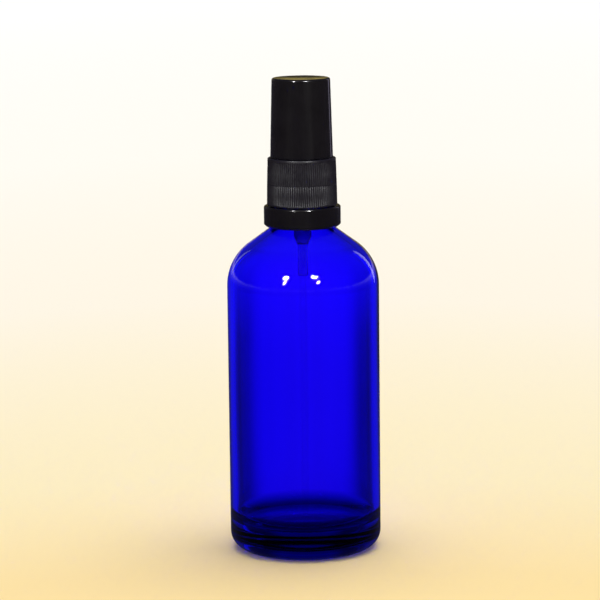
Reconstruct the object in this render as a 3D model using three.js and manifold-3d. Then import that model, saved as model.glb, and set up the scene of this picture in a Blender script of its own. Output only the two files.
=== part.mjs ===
// Perfume atomiser: a cobalt glass bottle with an 18 mm screw neck, closed by a fine-mist pump that has
// a tamper-evident ring, a ribbed screw collar, a spray button and a pull-off overcap.
// Millimetres, +Z up. The origin is the centre of the bottle's base, and the button sprays towards -Y.
import * as THREE from "three";
import { mergeVertices } from "three/addons/utils/BufferGeometryUtils.js";
import Module from "manifold-3d";

// ---- Driving dimensions ------------------------------------------------------------------------

// Bottle, outside
const BODY_RADIUS = 22.25;
const HEEL_RADIUS = 5.3;
const BEARING_RING_INNER = 14.6;
const PUSH_UP = 1.4;
const SHOULDER_START = 78.6;
const SHOULDER_ARC = 15.15;
const SHOULDER_ANGLE = 53.9; // degrees that the shoulder's arc turns before its straight cone
const NECK_RADIUS = 8.7;
const NECK_FILLET = 1.2;

// Bottle, inside
const WALL = 1.9;
const FLOOR_HEIGHT = 8.4;
const FLOOR_CROWN = 0.4;
const FLOOR_FILLET = 4.2;
const MOUTH_RADIUS = 5.6;
const SEAM_RADIUS = 9.3; // outer radius where the glass is divided into two solids, under the ring
const SEAM_GAP = 0.05;

// Screw finish, and the collar's matching thread
const BEAD_RADIUS = 9.75;
const BEAD_BOTTOM = 98.9;
const BEAD_HEIGHT = 1.0;
const FINISH_ROOT = 8.2;
const FINISH_CREST = 8.95;
const FINISH_TOP = 112.0;
const THREAD_PITCH = 3.0;
const BOTTLE_THREAD = { start: 104.4, turns: 1.5, footHalf: 0.75, crestHalf: 0.4 };
const COLLAR_THREAD = { turns: 1.25, footHalf: 0.5, crestHalf: 0.3 };
const THREAD_DROP = 1.15; // the collar's thread lies this far below the bottle's
const THREAD_FADE = 0.12; // share of a thread's length over which it rises from nothing at each end

// Tamper-evident ring
const RING_RADIUS = 11.22;
const RING_BOTTOM = 95.91;
const RING_TOP = 102.07;
const RING_BORE = 10.0;
const RING_LIP_RADIUS = 9.3;
const BRIDGES = 8;

// Collar
const COLLAR_BOTTOM = 102.35;
const COLLAR_TOP = 116.08;
const COLLAR_FOOT_RADIUS = 10.27;
const COLLAR_WAIST = 108.5; // where its draft gets steeper
const COLLAR_WAIST_RADIUS = 10.17;
const COLLAR_HEAD_RADIUS = 9.94;
const COLLAR_BORE = 9.15;
const COLLAR_THREAD_CREST = 8.4;
const DECK_BOTTOM = 114.95;
const DECK_HOLE = 3.6;
const SPIGOT_RADIUS = 7.95;
const SPIGOT_BORE = 6.9;
const SPIGOT_TOP = 119.8;

// Overcap
const CAP_BOTTOM = 116.27;
const CAP_TOP = 139.28;
const CAP_FOOT_RADIUS = 9.14;
const CAP_HEAD_RADIUS = 8.52;
const CAP_SOCKET = 8.12;
const CAP_SOCKET_DEPTH = 4.1;
const CAP_WALL = 1.05;
const CAP_ROOF = 1.35;
const CAP_EDGE = 0.6;
const CAP_DISH_DEPTH = 0.16;

// Pump: the stack that the collar clamps on the glass
const GASKET_THICKNESS = 0.9;
const FLANGE_RADIUS = 8.3;
const FLANGE_THICKNESS = 1.0;
const TURRET_FLANGE_THICKNESS = 0.85;
const STACK_GAP = 0.05;

// Pump housing and dip tube
const BARREL_RADIUS = 4.3;
const BARREL_BORE = 3.2;
const BARREL_LEDGE = 97.2;
const TAIL_RADIUS = 2.575;
const TAIL_BORE = 1.75;
const TAIL_BOTTOM = 92.12;
const TUBE_SPIGOT_RADIUS = 1.58;
const TUBE_SPIGOT_TOP = 89.95;
const TUBE_SPIGOT_BOTTOM = 81.4;
const VENT_HEIGHT = 110.9;
const BALL_SEAT = { radius: 0.8, bottom: 91.4, top: 92.3 };
const TUBE_RADIUS = 1.15;
const TUBE_BORE = 0.75;
const TUBE_FLOOR_GAP = 0.8;

// Pump: what moves inside it
const STROKE = 4.0;
const STEM_RADIUS = 1.7;
const STEM_BORE = 0.95;
const STEM_TOP = 124.5;
const STEM_FLANGE_RADIUS = 2.75;
const STEM_FLANGE_TOP = 112.2;
const STEM_FLANGE_THICKNESS = 0.8;
const SEAL_THICKNESS = 0.85;
const PISTON_BOTTOM = 106.3;
const PISTON_HEIGHT = 2.8;
const PISTON_LIP_RADIUS = 3.12;
const VALVE_OPENING = 0.5; // how far the piston lifts off the core rod's head
const HEAD_RADIUS = 2.7;
const HEAD_THICKNESS = 0.8;
const BALL_RADIUS = 1.15;
const RETURN_WIRE = 0.5;
const PISTON_WIRE = 0.35;

// Spray button and nozzle
const BUTTON_RADIUS = 6.3;
const BUTTON_BOTTOM = COLLAR_TOP + STROKE + 0.22;
const BUTTON_TOP = 132.5;
const NOZZLE_HEIGHT = 128.9;
const NOZZLE_RECESS_RADIUS = 2.0;
const NOZZLE_RECESS_BACK = 3.9; // distance from the axis to the recess's floor

// Facets
const SEGMENTS = 40;
const SMALL_SEGMENTS = 24;
const THREAD_STEPS = 24; // per turn

// ---- Shaping -----------------------------------------------------------------------------------

const wasm = await Module();
wasm.setup();

const radians = THREE.MathUtils.degToRad;

// Points [radius, height] along an arc round (r, z), from one angle to another in degrees.
function arc(r, z, radius, from, to, steps) {
  return Array.from({ length: steps + 1 }, (_, i) => {
    const angle = radians(from + ((to - from) * i) / steps);
    return [r + radius * Math.cos(angle), z + radius * Math.sin(angle)];
  });
}

// A solid of revolution round Z. The outline runs up the outside and down the inside, from axis to axis.
function turned(outline, segments = SEGMENTS) {
  const points = outline.map(([r, z]) => new THREE.Vector2(r, z));
  return new THREE.LatheGeometry(points, segments).rotateX(Math.PI / 2);
}

// The same for a ring, whose outline closes on itself.
function turnedRing(outline, segments = SEGMENTS) {
  return turned([...outline, outline[0]], segments);
}

// A cylinder along Y between two distances in front of the axis, at a height.
function frontRod(radius, near, far, height) {
  return new THREE.CylinderGeometry(radius, radius, far - near, SMALL_SEGMENTS)
    .translate(0, -(near + far) / 2, height);
}

function toSolid(geometry) {
  const bare = geometry.clone();
  bare.deleteAttribute("normal");
  bare.deleteAttribute("uv");
  const merged = mergeVertices(bare);
  return new wasm.Manifold(
    new wasm.Mesh({
      numProp: 3,
      vertProperties: merged.attributes.position.array,
      triVerts: Uint32Array.from(merged.index.array),
    }),
  );
}

function toGeometry(solid) {
  const mesh = solid.getMesh();
  const geometry = new THREE.BufferGeometry();
  geometry.setAttribute("position", new THREE.BufferAttribute(mesh.vertProperties, 3));
  geometry.setIndex(new THREE.BufferAttribute(mesh.triVerts, 1));
  return geometry;
}

function joined(base, additions) {
  return toGeometry(additions.reduce((solid, piece) => solid.add(toSolid(piece)), toSolid(base)));
}

function cut(base, tools) {
  return toGeometry(tools.reduce((solid, tool) => solid.subtract(toSolid(tool)), toSolid(base)));
}

// A right-hand screw thread: a bar of trapezoid section wrapped round Z. Its foot is buried in the wall
// that it grows from, and its crest sinks into that wall at both ends.
function thread({ start, turns, footHalf, crestHalf }, rootRadius, crestRadius) {
  const buried = Math.sign(rootRadius - crestRadius) * 0.5;
  const section = new THREE.Shape([
    new THREE.Vector2(-footHalf, buried),
    new THREE.Vector2(footHalf, buried),
    new THREE.Vector2(crestHalf, crestRadius - rootRadius),
    new THREE.Vector2(-crestHalf, crestRadius - rootRadius),
  ]);
  const steps = Math.round(turns * THREAD_STEPS);
  const bar = new THREE.ExtrudeGeometry(section, { depth: 1, steps, bevelEnabled: false });
  const position = bar.getAttribute("position");
  for (let i = 0; i < position.count; i++) {
    const along = position.getZ(i);
    const angle = along * turns * 2 * Math.PI;
    const rise = Math.min(1, along / THREAD_FADE, (1 - along) / THREAD_FADE);
    const sunk = buried * 0.6;
    const reach = position.getY(i);
    const radius = rootRadius + (reach * buried > 0 ? reach : sunk + (reach - sunk) * rise);
    const height = start + along * turns * THREAD_PITCH + position.getX(i);
    position.setXYZ(i, radius * Math.cos(angle), radius * Math.sin(angle), height);
  }
  return bar;
}

// A compression spring's centre line, with one close coil at each end.
class SpringLine extends THREE.Curve {
  constructor(radius, length, turns, wire) {
    super();
    Object.assign(this, { radius, length, turns, wire });
  }
  getPoint(t, target = new THREE.Vector3()) {
    const closePitch = this.wire * 1.2;
    const openPitch = (this.length - this.wire - 2 * closePitch) / (this.turns - 2);
    const turn = t * this.turns;
    const open = THREE.MathUtils.clamp(turn - 1, 0, this.turns - 2);
    const height = this.wire / 2 + (turn - open) * closePitch + open * openPitch;
    const angle = 2 * Math.PI * turn;
    return target.set(this.radius * Math.cos(angle), this.radius * Math.sin(angle), height);
  }
}

function spring(radius, length, turns, wire) {
  const sides = 6;
  const section = new THREE.Shape(
    Array.from({ length: sides }, (_, i) => {
      const angle = (2 * Math.PI * i) / sides;
      return new THREE.Vector2((wire / 2) * Math.cos(angle), (wire / 2) * Math.sin(angle));
    }),
  );
  const extrudePath = new SpringLine(radius, length, turns, wire);
  return new THREE.ExtrudeGeometry(section, { steps: turns * 12, extrudePath });
}

// ---- Glass -------------------------------------------------------------------------------------

// The bottle is one piece of glass. It is made as two solids, the body and the neck with its screw
// finish, which meet across the shoulder's wall.
const shoulderCentre = BODY_RADIUS - SHOULDER_ARC;
const innerArc = SHOULDER_ARC - WALL;

// Height at which the shoulder's straight cone, outside or inside, has a radius.
function coneHeightAt(arcRadius, radius) {
  const [r, z] = arc(shoulderCentre, SHOULDER_START, arcRadius, SHOULDER_ANGLE, SHOULDER_ANGLE, 1)[0];
  return z + (r - radius) / Math.tan(radians(SHOULDER_ANGLE));
}

// The outer and inner ends of a cut straight through the cone's wall, this far up it from the seam.
function seam(offset) {
  const [across, up] = [Math.cos(radians(SHOULDER_ANGLE)), Math.sin(radians(SHOULDER_ANGLE))];
  const r = SEAM_RADIUS - offset * up;
  const z = coneHeightAt(SHOULDER_ARC, SEAM_RADIUS) + offset * across;
  return [[r, z], [r - WALL * across, z - WALL * up]];
}

function bottle() {
  const domeRadius = (BEARING_RING_INNER ** 2 + PUSH_UP ** 2) / (2 * PUSH_UP);
  const domeAngle = THREE.MathUtils.radToDeg(Math.asin(BEARING_RING_INNER / domeRadius));
  const innerRadius = BODY_RADIUS - WALL;
  return turned([
    ...arc(0, PUSH_UP - domeRadius, domeRadius, 90, 90 - domeAngle, 2),
    ...arc(BODY_RADIUS - HEEL_RADIUS, HEEL_RADIUS, HEEL_RADIUS, -90, 0, 4),
    ...arc(shoulderCentre, SHOULDER_START, SHOULDER_ARC, 0, SHOULDER_ANGLE, 5),
    ...seam(0),
    ...arc(shoulderCentre, SHOULDER_START, innerArc, SHOULDER_ANGLE, 0, 5),
    ...arc(innerRadius - FLOOR_FILLET, FLOOR_HEIGHT + FLOOR_FILLET, FLOOR_FILLET, 0, -90, 4),
    [0, FLOOR_HEIGHT + FLOOR_CROWN],
  ]);
}

function bottleNeck() {
  const filletTop =
    coneHeightAt(SHOULDER_ARC, NECK_RADIUS) + NECK_FILLET * Math.tan(radians(SHOULDER_ANGLE / 2));
  const neck = turnedRing([
    ...arc(NECK_RADIUS + NECK_FILLET, filletTop, NECK_FILLET, 180 + SHOULDER_ANGLE, 180, 2),
    [NECK_RADIUS, BEAD_BOTTOM - 0.4],
    [BEAD_RADIUS, BEAD_BOTTOM],
    [BEAD_RADIUS, BEAD_BOTTOM + BEAD_HEIGHT],
    [FINISH_ROOT, BEAD_BOTTOM + 2 * BEAD_HEIGHT],
    [FINISH_ROOT, FINISH_TOP - 0.5],
    [FINISH_ROOT - 0.4, FINISH_TOP],
    [MOUTH_RADIUS + 0.4, FINISH_TOP],
    [MOUTH_RADIUS, FINISH_TOP - 0.4],
    [MOUTH_RADIUS, coneHeightAt(innerArc, MOUTH_RADIUS)],
    ...seam(SEAM_GAP).reverse(),
  ]);
  return joined(neck, [thread(BOTTLE_THREAD, FINISH_ROOT, FINISH_CREST)]);
}

// ---- Closure -----------------------------------------------------------------------------------

// The ring that stays on the neck. A lip inside holds it under the bead, and short bridges on top of it
// break when the collar is first unscrewed.
function tamperRing() {
  const ring = turnedRing([
    [RING_LIP_RADIUS + 0.45, RING_BOTTOM],
    [RING_RADIUS - 0.92, RING_BOTTOM],
    [RING_RADIUS, RING_BOTTOM + 0.76],
    ...arc(RING_RADIUS - 0.47, RING_TOP - 0.47, 0.47, 0, 90, 2),
    [RING_BORE, RING_TOP],
    [RING_BORE, BEAD_BOTTOM - 0.15],
    [RING_LIP_RADIUS, BEAD_BOTTOM - 0.3],
    [RING_LIP_RADIUS, RING_BOTTOM + 0.7],
  ]);
  const height = COLLAR_BOTTOM - RING_TOP;
  const bridges = Array.from({ length: BRIDGES }, (_, i) =>
    new THREE.BoxGeometry(0.3, 0.7, height)
      .translate(RING_BORE + 0.2, 0, COLLAR_BOTTOM - STACK_GAP - height / 2)
      .rotateZ((2 * Math.PI * (i + 0.5)) / BRIDGES),
  );
  return joined(ring, bridges);
}

function collar() {
  const shell = turnedRing([
    [COLLAR_FOOT_RADIUS - 0.15, COLLAR_BOTTOM],
    [COLLAR_FOOT_RADIUS, COLLAR_BOTTOM + 0.15],
    [COLLAR_WAIST_RADIUS, COLLAR_WAIST],
    ...arc(COLLAR_HEAD_RADIUS - 0.35, COLLAR_TOP - 0.35, 0.35, 0, 90, 2),
    [SPIGOT_RADIUS, COLLAR_TOP],
    [SPIGOT_RADIUS, SPIGOT_TOP - 0.3],
    [SPIGOT_RADIUS - 0.3, SPIGOT_TOP],
    [SPIGOT_BORE, SPIGOT_TOP],
    [SPIGOT_BORE, COLLAR_TOP],
    [DECK_HOLE, COLLAR_TOP],
    [DECK_HOLE, DECK_BOTTOM],
    [COLLAR_BORE, DECK_BOTTOM],
    [COLLAR_BORE, COLLAR_BOTTOM],
  ]);
  const start = BOTTLE_THREAD.start - THREAD_DROP;
  return joined(shell, [thread({ start, ...COLLAR_THREAD }, COLLAR_BORE, COLLAR_THREAD_CREST)]);
}

function overcap() {
  const ceiling = CAP_TOP - CAP_ROOF;
  const step = CAP_BOTTOM + CAP_SOCKET_DEPTH;
  const draft = (CAP_FOOT_RADIUS - CAP_HEAD_RADIUS) / (CAP_TOP - CAP_BOTTOM);
  const innerRadiusAt = (z) => CAP_FOOT_RADIUS - draft * (z - CAP_BOTTOM) - CAP_WALL;
  return turned([
    [0, ceiling],
    [innerRadiusAt(ceiling), ceiling],
    [innerRadiusAt(step), step + 0.3],
    [CAP_SOCKET, step],
    [CAP_SOCKET, CAP_BOTTOM],
    [CAP_FOOT_RADIUS - 0.1, CAP_BOTTOM],
    [CAP_FOOT_RADIUS, CAP_BOTTOM + 0.1],
    ...arc(CAP_HEAD_RADIUS - CAP_EDGE, CAP_TOP - CAP_EDGE, CAP_EDGE, 0, 90, 3),
    [CAP_HEAD_RADIUS - CAP_EDGE - 0.3, CAP_TOP],
    [CAP_HEAD_RADIUS - CAP_EDGE - 0.9, CAP_TOP - CAP_DISH_DEPTH],
    [0, CAP_TOP - CAP_DISH_DEPTH],
  ]);
}

// ---- Pump: fixed parts -------------------------------------------------------------------------

const GASKET_BOTTOM = FINISH_TOP + STACK_GAP;
const FLANGE_BOTTOM = GASKET_BOTTOM + GASKET_THICKNESS + STACK_GAP;
const FLANGE_TOP = FLANGE_BOTTOM + FLANGE_THICKNESS;
const TURRET_BOTTOM = FLANGE_TOP + STACK_GAP;
const TURRET_FLANGE_TOP = TURRET_BOTTOM + TURRET_FLANGE_THICKNESS;
const SEAL_BOTTOM = STEM_FLANGE_TOP + 0.1;
const CAGE_BOTTOM = 94.3;
const CAGE_FLANGE_TOP = BARREL_LEDGE + STACK_GAP + 0.5;

function neckGasket() {
  return turnedRing(
    [
      [MOUTH_RADIUS + 0.3, GASKET_BOTTOM],
      [FLANGE_RADIUS, GASKET_BOTTOM],
      [FLANGE_RADIUS, GASKET_BOTTOM + GASKET_THICKNESS],
      [MOUTH_RADIUS + 0.3, GASKET_BOTTOM + GASKET_THICKNESS],
    ],
    SMALL_SEGMENTS,
  );
}

// The cylinder, with the ball seat and the dip tube's socket in its tail, and an air vent near its top.
function pumpHousing() {
  const barrel = turnedRing(
    [
      [TUBE_SPIGOT_RADIUS, TUBE_SPIGOT_BOTTOM],
      [TUBE_SPIGOT_RADIUS, TUBE_SPIGOT_TOP],
      [TAIL_RADIUS, TAIL_BOTTOM],
      [TAIL_RADIUS, 95.2],
      [BARREL_RADIUS, 96.6],
      [BARREL_RADIUS, FLANGE_BOTTOM],
      [FLANGE_RADIUS, FLANGE_BOTTOM],
      [FLANGE_RADIUS, FLANGE_TOP],
      [BARREL_BORE + 0.2, FLANGE_TOP],
      [BARREL_BORE, FLANGE_TOP - 0.2],
      [BARREL_BORE, BARREL_LEDGE],
      [TAIL_BORE, BARREL_LEDGE],
      [TAIL_BORE, BALL_SEAT.top],
      [BALL_SEAT.radius, BALL_SEAT.bottom],
      [BALL_SEAT.radius, BALL_SEAT.bottom - 1],
      [TUBE_RADIUS + 0.05, BALL_SEAT.bottom - 1.2],
      [TUBE_RADIUS + 0.05, TUBE_SPIGOT_BOTTOM],
    ],
    SMALL_SEGMENTS,
  );
  return cut(barrel, [frontRod(0.35, BARREL_BORE - 1, BARREL_RADIUS + 1, VENT_HEIGHT)]);
}

function turret() {
  return turnedRing(
    [
      [BARREL_BORE - 0.1, SEAL_BOTTOM + SEAL_THICKNESS + 0.1],
      [BARREL_BORE - 0.1, TURRET_BOTTOM],
      [FLANGE_RADIUS, TURRET_BOTTOM],
      [FLANGE_RADIUS, TURRET_FLANGE_TOP],
      [DECK_HOLE - 0.5, TURRET_FLANGE_TOP],
      [DECK_HOLE - 0.5, COLLAR_TOP + 1.2],
      [DECK_HOLE - 0.8, COLLAR_TOP + 1.5],
      [STEM_RADIUS + 0.15, COLLAR_TOP + 1.5],
      [STEM_RADIUS + 0.15, SEAL_BOTTOM + SEAL_THICKNESS + 0.1],
    ],
    SMALL_SEGMENTS,
  );
}

function stemSeal() {
  return turnedRing(
    [
      [STEM_RADIUS + 0.08, SEAL_BOTTOM],
      [PISTON_LIP_RADIUS, SEAL_BOTTOM],
      [PISTON_LIP_RADIUS, SEAL_BOTTOM + SEAL_THICKNESS],
      [STEM_RADIUS + 0.08, SEAL_BOTTOM + SEAL_THICKNESS],
    ],
    SMALL_SEGMENTS,
  );
}

// Keeps the ball in its seat. Three slots let the liquid past when the ball is up against it.
function ballCage() {
  const sleeve = turnedRing(
    [
      [TAIL_BORE - 0.1, CAGE_BOTTOM],
      [TAIL_BORE - 0.1, BARREL_LEDGE + STACK_GAP],
      [BARREL_BORE - 0.1, BARREL_LEDGE + STACK_GAP],
      [BARREL_BORE - 0.1, CAGE_FLANGE_TOP],
      [0.7, CAGE_FLANGE_TOP],
      [0.7, CAGE_BOTTOM],
    ],
    SMALL_SEGMENTS,
  );
  const slots = Array.from({ length: 3 }, (_, i) =>
    new THREE.BoxGeometry(1.3, 0.5, 5)
      .translate(0.65, 0, (CAGE_BOTTOM + CAGE_FLANGE_TOP) / 2)
      .rotateZ((2 * Math.PI * i) / 3),
  );
  return cut(sleeve, slots);
}

function dipTube() {
  const bottom = FLOOR_HEIGHT + FLOOR_CROWN + TUBE_FLOOR_GAP;
  const top = TUBE_SPIGOT_TOP;
  return turnedRing(
    [
      [TUBE_RADIUS, bottom],
      [TUBE_RADIUS, top],
      [TUBE_BORE, top],
      [TUBE_BORE, bottom],
    ],
    SMALL_SEGMENTS,
  );
}

// ---- Pump: moving parts ------------------------------------------------------------------------

const PISTON_TOP = PISTON_BOTTOM + PISTON_HEIGHT;
const STEM_FLANGE_BOTTOM = STEM_FLANGE_TOP - STEM_FLANGE_THICKNESS;
const HEAD_TOP = PISTON_BOTTOM - 0.1;
const HEAD_BOTTOM = HEAD_TOP - HEAD_THICKNESS;
const PISTON_STEP = PISTON_BOTTOM + 0.9; // where the piston's bore narrows below the stem's foot

function stem() {
  const foot = PISTON_STEP + VALVE_OPENING + 0.2;
  return turnedRing(
    [
      [STEM_RADIUS, foot],
      [STEM_RADIUS, STEM_FLANGE_BOTTOM],
      [STEM_FLANGE_RADIUS, STEM_FLANGE_BOTTOM],
      [STEM_FLANGE_RADIUS, STEM_FLANGE_TOP],
      [STEM_RADIUS, STEM_FLANGE_TOP],
      [STEM_RADIUS, STEM_TOP],
      [STEM_BORE, STEM_TOP],
      [STEM_BORE, foot],
    ],
    SMALL_SEGMENTS,
  );
}

// A square shank plugs the stem's round bore, so that the spray passes on its four flats.
function coreRod() {
  const shankWidth = 1.2;
  const shankTop = 110.4;
  const pinBottom = HEAD_BOTTOM - 1.2;
  const head = turned(
    [
      [0, pinBottom],
      [1.0, pinBottom],
      [1.2, pinBottom + 0.2],
      [1.2, HEAD_BOTTOM],
      [HEAD_RADIUS, HEAD_BOTTOM],
      [HEAD_RADIUS, HEAD_TOP - 0.2],
      [HEAD_RADIUS - 0.3, HEAD_TOP],
      [0, HEAD_TOP],
    ],
    SMALL_SEGMENTS,
  );
  const shank = new THREE.BoxGeometry(shankWidth, shankWidth, shankTop - HEAD_BOTTOM - 0.2)
    .translate(0, 0, (shankTop + HEAD_BOTTOM + 0.2) / 2);
  return joined(head, [shank]);
}

function piston() {
  const waist = PISTON_LIP_RADIUS - 0.4;
  const lip = 0.6;
  return turnedRing(
    [
      [STEM_RADIUS - 0.45, PISTON_BOTTOM],
      [PISTON_LIP_RADIUS, PISTON_BOTTOM],
      [PISTON_LIP_RADIUS, PISTON_BOTTOM + lip / 2],
      [waist, PISTON_BOTTOM + lip],
      [waist, PISTON_TOP - lip],
      [PISTON_LIP_RADIUS, PISTON_TOP - lip / 2],
      [PISTON_LIP_RADIUS, PISTON_TOP],
      [STEM_RADIUS + 0.08, PISTON_TOP],
      [STEM_RADIUS + 0.08, PISTON_STEP],
      [STEM_RADIUS - 0.45, PISTON_STEP],
    ],
    SMALL_SEGMENTS,
  );
}

// The hollow spray button: a socket for the stem, a finger dish, and a recess in front whose post
// carries the swirl face of the nozzle insert.
function actuator() {
  const socketTop = STEM_TOP + 0.1;
  const sideChannel = NOZZLE_HEIGHT - 1.575;
  const ceiling = 126.5;
  const body = turned([
    [0, sideChannel + 0.4],
    [0.8, sideChannel + 0.4],
    [0.8, socketTop],
    [STEM_RADIUS + 0.06, socketTop],
    [STEM_RADIUS + 0.06, BUTTON_BOTTOM + 1.6],
    [2.8, BUTTON_BOTTOM + 1.6],
    [2.8, ceiling],
    [BUTTON_RADIUS - 1, ceiling],
    [BUTTON_RADIUS - 1, BUTTON_BOTTOM],
    [BUTTON_RADIUS, BUTTON_BOTTOM],
    ...arc(BUTTON_RADIUS - 0.8, BUTTON_TOP - 0.8, 0.8, 0, 90, 3),
    [0, BUTTON_TOP],
  ]);
  const dishRadius = 9;
  const dish = new THREE.SphereGeometry(dishRadius, 32, 16)
    .translate(0, 0, BUTTON_TOP - 1.1 + dishRadius);
  const hollowed = cut(body, [
    dish,
    frontRod(NOZZLE_RECESS_RADIUS, NOZZLE_RECESS_BACK, BUTTON_RADIUS + 1, NOZZLE_HEIGHT),
    frontRod(0.4, -0.2, NOZZLE_RECESS_BACK + 0.3, sideChannel),
  ]);
  return joined(hollowed, [
    frontRod(1.15, NOZZLE_RECESS_BACK - 0.3, NOZZLE_RECESS_BACK + 1.5, NOZZLE_HEIGHT),
  ]);
}

// A cup that is open to the rear, with the spray orifice in a shallow countersink. Its front faces +Z
// here, and its mesh is turned to face -Y.
function nozzleInsert() {
  const length = 1.85;
  const cupDepth = length - 0.45;
  return turnedRing(
    [
      [1.25, 0],
      [NOZZLE_RECESS_RADIUS - 0.08, 0],
      [NOZZLE_RECESS_RADIUS - 0.08, length - 0.15],
      [NOZZLE_RECESS_RADIUS - 0.23, length],
      [0.65, length],
      [0.2, length - 0.2],
      [0.2, cupDepth],
      [1.25, cupDepth],
    ],
    SMALL_SEGMENTS,
  );
}

// ---- Assembly ----------------------------------------------------------------------------------

const cobaltGlass = { color: 0x1600e6, roughness: 0.05, metalness: 0, transparent: true, opacity: 0.5 };
const glossBlack = { color: 0x1a181b, roughness: 0.2, metalness: 0 };
const satinBlack = { color: 0x242228, roughness: 0.45, metalness: 0 };
const whitePlastic = { color: 0xe8e8e4, roughness: 0.4, metalness: 0 };
const clearPlastic = { color: 0xe4e9ec, roughness: 0.2, metalness: 0, transparent: true, opacity: 0.4 };
const softSeal = { color: 0xd9d9d2, roughness: 0.7, metalness: 0 };
const springSteel = { color: 0xb9bcc0, roughness: 0.25, metalness: 1 };

function part(name, geometry, material) {
  const mesh = new THREE.Mesh(geometry, new THREE.MeshStandardMaterial(material));
  mesh.name = name;
  return mesh;
}

function partAt(name, geometry, material, height) {
  const mesh = part(name, geometry, material);
  mesh.position.z = height;
  return mesh;
}

const returnSpringBottom = CAGE_FLANGE_TOP + STACK_GAP;
const returnSpring = spring(2.3, HEAD_BOTTOM - STACK_GAP - returnSpringBottom, 6, RETURN_WIRE);
const pistonSpringBottom = PISTON_TOP + 0.1;
const pistonSpring = spring(2.2, STEM_FLANGE_BOTTOM - 0.1 - pistonSpringBottom, 3, PISTON_WIRE);
const inletBall = new THREE.SphereGeometry(BALL_RADIUS, 14, 10);
const ballHeight = BALL_SEAT.bottom + 0.91;

const nozzle = part("nozzle_insert", nozzleInsert(), glossBlack);
nozzle.rotation.x = Math.PI / 2;
nozzle.position.set(0, -(NOZZLE_RECESS_BACK + 0.2), NOZZLE_HEIGHT);

const button = new THREE.Group().add(part("actuator", actuator(), glossBlack), nozzle);

const pump = new THREE.Group().add(
  part("neck_gasket", neckGasket(), softSeal),
  part("pump_housing", pumpHousing(), clearPlastic),
  part("turret", turret(), satinBlack),
  part("stem_seal", stemSeal(), softSeal),
  part("ball_cage", ballCage(), whitePlastic),
  part("dip_tube", dipTube(), clearPlastic),
  partAt("inlet_ball", inletBall, springSteel, ballHeight),
  partAt("return_spring", returnSpring, springSteel, returnSpringBottom),
  part("stem", stem(), whitePlastic),
  part("core_rod", coreRod(), whitePlastic),
  part("piston", piston(), whitePlastic),
  partAt("piston_spring", pistonSpring, springSteel, pistonSpringBottom),
  button,
);

const atomiser = new THREE.Group().add(
  part("bottle", bottle(), cobaltGlass),
  part("bottle_neck", bottleNeck(), cobaltGlass),
  part("tamper_ring", tamperRing(), glossBlack),
  pump,
  part("collar", collar(), satinBlack),
  part("overcap", overcap(), glossBlack),
);

export default atomiser;
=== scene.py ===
"""Perfume atomiser: the finished surfaces, studio and camera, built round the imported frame.

Blender works in metres. The dimensions here are millimetres, in the frame's axes: +Z is up, the origin is
the centre of the bottle's base, and the button sprays towards -Y.
"""
import math

import bmesh
import bpy
import numpy as np
from mathutils import Matrix, Vector


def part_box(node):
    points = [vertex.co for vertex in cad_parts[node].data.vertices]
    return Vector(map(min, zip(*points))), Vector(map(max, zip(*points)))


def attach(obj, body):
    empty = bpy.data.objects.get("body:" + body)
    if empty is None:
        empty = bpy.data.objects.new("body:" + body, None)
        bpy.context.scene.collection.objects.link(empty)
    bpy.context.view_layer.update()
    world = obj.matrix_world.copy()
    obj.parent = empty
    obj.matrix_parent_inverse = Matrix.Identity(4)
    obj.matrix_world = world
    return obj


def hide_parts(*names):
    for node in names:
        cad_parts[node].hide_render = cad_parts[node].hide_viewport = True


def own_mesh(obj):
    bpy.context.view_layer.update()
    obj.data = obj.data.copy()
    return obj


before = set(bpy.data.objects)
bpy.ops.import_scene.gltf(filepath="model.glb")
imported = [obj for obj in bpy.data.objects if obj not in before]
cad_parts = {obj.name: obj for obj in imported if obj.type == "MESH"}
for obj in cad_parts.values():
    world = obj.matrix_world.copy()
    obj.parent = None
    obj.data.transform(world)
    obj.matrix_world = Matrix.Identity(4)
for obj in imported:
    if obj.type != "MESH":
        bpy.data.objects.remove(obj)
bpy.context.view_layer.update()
MM = 0.001


def outer_size(node):
    """A CAD node's outer radius, lowest height and highest height, in millimetres."""
    low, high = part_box(node)
    return high.x / MM, low.z / MM, high.z / MM


# ---- Dimensions ----------------------------------------------------------------------------------

# Bottle
BODY_RADIUS, _, _ = outer_size("bottle")
_, _, FINISH_TOP = outer_size("bottle_neck")
HEEL_RADIUS = 5.3
BEARING_RING_INNER = 14.6
PUSH_UP = 1.4
SHOULDER_START = 78.6
SHOULDER_ARC = 15.15
SHOULDER_ANGLE = 53.9
NECK_RADIUS = 8.7
NECK_FILLET = 1.2
WALL = 1.9
FLOOR_HEIGHT = 8.4
FLOOR_CROWN = 0.4
FLOOR_FILLET = 4.2
MOUTH_RADIUS = 5.6
LIP_ROUND = 0.5
BEAD_RADIUS = 9.75
BEAD_BOTTOM = 98.9
BEAD_HEIGHT = 1.0
FINISH_ROOT = 8.2
FINISH_CREST = 8.95
THREAD_PITCH = 3.0
BOTTLE_THREAD = dict(start=104.4, turns=1.5, foot=0.75, crest=0.4)
BOTTLE_THREAD_SPAN = (103.4, 110)
THREAD_FADE = 0.12

# Tamper-evident ring
RING_RADIUS, RING_BOTTOM, BRIDGE_TOP = outer_size("tamper_ring")
RING_TOP = 102.07
RING_BORE = 10.0
RING_LIP_RADIUS = 9.3
BRIDGES = 8
BRIDGE_THICKNESS = 0.3
BRIDGE_WIDTH = 0.7

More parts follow.
